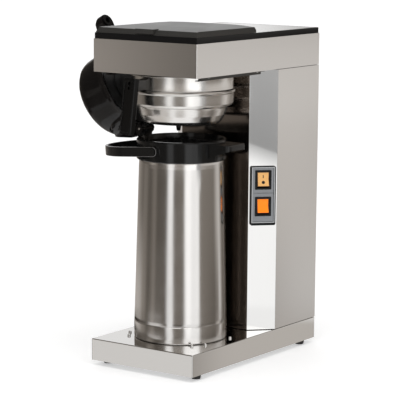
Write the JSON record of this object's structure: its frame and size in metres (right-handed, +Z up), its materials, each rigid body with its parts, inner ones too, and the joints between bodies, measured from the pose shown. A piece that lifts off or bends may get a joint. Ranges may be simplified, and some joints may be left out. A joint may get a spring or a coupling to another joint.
{
  "type": "drip coffee maker",
  "caption": "Upright drip coffee maker: filter basket sliding on rails under a flat head, insulated flask with hinged pump lid and bail on the base, rear tank and rocker switches on the side.",
  "frame": {"origin": "on the table plane, midway between the four feet", "axes": "+Z up, -Y towards the user (front, where the basket grip points), +X to the user's right"},
  "size_m": [0.2961, 0.3922, 0.5698],
  "materials": {
    "case_steel": "satin brushed stainless sheet, warm grey",
    "mirror_steel": "polished stainless sheet, close to a mirror",
    "sheet_steel": "plain dull stainless sheet",
    "screw_steel": "plated steel, bright",
    "foot_rubber": "black, matte",
    "brass_parts": "turned brass, satin",
    "stud_steel": "polished steel",
    "pale_plastic": "off-white food-safe plastic",
    "silicone": "translucent white silicone, satin",
    "frame_plastic": "black, satin",
    "top_sheet": "satin brushed stainless sheet",
    "tray_steel": "satin stainless",
    "tank_steel": "dull stainless with weld marks",
    "heater_sheath": "heat-tinted steel sheath",
    "control_ceramic": "cream ceramic body",
    "wire_cover": "red heat-resistant covering",
    "gland_plastic": "black nylon",
    "bezel_plastic": "dark grey, satin",
    "switch_metal": "fine satin plate",
    "housing_plastic": "near black, satin gloss",
    "lid_plastic": "grey-brown with a soft sheen",
    "amber_lens": "translucent amber, lit from behind",
    "orange_lens": "translucent orange, lit from behind",
    "basket_steel": "satin stainless with turned lines",
    "grip_plastic": "black, glossy",
    "rack_steel": "bright welded wire",
    "nozzle_plastic": "black",
    "flask_steel": "brushed stainless, upright reflections",
    "liner_steel": "satin stainless",
    "collar_plastic": "black, glossy",
    "bail_plastic": "black, glossy",
    "cap_plastic": "black to dark grey, glossy",
    "underplate_plastic": "dark grey, satin",
    "bellows_rubber": "black silicone rubber",
    "button_plastic": "dark grey, glossy"
  },
  "bodies": {
    "cabinet": {"base_pan": "case_steel", "base_plate": "sheet_steel", "base_pillars": "sheet_steel", "plate_screws": "screw_steel", "rubber_feet": "foot_rubber", "foot_bushes": "brass_parts", "locating_studs": "stud_steel", "column_front": "mirror_steel", "left_side_panel": "case_steel", "right_side_panel": "case_steel", "back_cover": "case_steel", "back_screws": "screw_steel", "head_shell": "case_steel", "head_soffit": "sheet_steel", "basket_rails": "mirror_steel", "rail_screws": "screw_steel", "spray_head": "pale_plastic", "spray_pipe": "silicone", "top_frame": "frame_plastic", "top_plate": "top_sheet", "fill_tray": "tray_steel", "fill_strainer": "pale_plastic", "water_tank": "tank_steel", "tank_shelf": "sheet_steel", "outlet_hose": "silicone", "boiler": "tank_steel", "heating_element": "heater_sheath", "thermostat": "control_ceramic", "thermal_cutout": "control_ceramic", "terminal_block": "pale_plastic", "wiring": "wire_cover", "cable_gland": "gland_plastic", "gland_nut": "gland_plastic", "switch_bezel": "bezel_plastic", "switch_plate": "switch_metal", "switch_housings": "housing_plastic", "fill_lid_pins": "screw_steel"},
    "basket": {"filter_basket": "basket_steel", "basket_bracket": "basket_steel", "basket_grip": "grip_plastic", "grip_screws": "screw_steel", "filter_rack": "rack_steel", "drip_nozzle": "nozzle_plastic"},
    "flask": {"flask_shell": "flask_steel", "flask_foot": "flask_steel", "flask_liner": "liner_steel", "flask_collar": "collar_plastic", "flow_stopper": "collar_plastic", "dip_tube": "pale_plastic", "bail_pivots": "bail_plastic", "cap_hinge_pin": "screw_steel"},
    "cap": {"cap_shell": "cap_plastic", "cap_underplate": "underplate_plastic", "pump_bellows": "bellows_rubber", "spout_nozzle": "cap_plastic"},
    "button": {"pump_button": "button_plastic"},
    "bail": {"bail_handle": "bail_plastic"},
    "fill_lid": {"fill_lid": "lid_plastic"},
    "power_rocker": {"power_rocker": "amber_lens"},
    "brew_rocker": {"brew_rocker": "orange_lens"}
  },
  "joints": [
    {"name": "fill_lid_hinge", "type": "hinge", "parent": "cabinet", "child": "fill_lid", "pos_m": [0, -0.011, 0.5525], "axis": [-1, 0, 0], "range_deg": [0, 95]},
    {"name": "power_switch", "type": "hinge", "parent": "cabinet", "child": "power_rocker", "pos_m": [0.08407, 0.04039, 0.3007], "axis": [0.6968, 0.7173, 0], "range_deg": [0, 18]},
    {"name": "brew_switch", "type": "hinge", "parent": "cabinet", "child": "brew_rocker", "pos_m": [0.08407, 0.04039, 0.2559], "axis": [0.6968, 0.7173, 0], "range_deg": [0, 18]},
    {"name": "basket_slide", "type": "slide", "parent": "cabinet", "child": "basket", "axis": [0, -1, 0], "range_m": [0, 0.185]},
    {"name": "flask_lift", "type": "slide", "parent": "cabinet", "child": "flask", "axis": [0, 0, 1], "range_m": [0, 0.006]},
    {"name": "cap_hinge", "type": "hinge", "parent": "flask", "child": "cap", "pos_m": [-0.075, -0.0743, 0.3856], "axis": [0, 1, 0], "range_deg": [0, 5]},
    {"name": "button_press", "type": "slide", "parent": "cap", "child": "button", "axis": [0.8854, 0, 0.4648], "range_m": [0, 0.014], "stiffness_N_per_m": 800},
    {"name": "bail_swing", "type": "hinge", "parent": "flask", "child": "bail", "pos_m": [0, -0.0743, 0.3598], "axis": [0, 1, 0], "range_deg": [0, 7]}
  ]
}
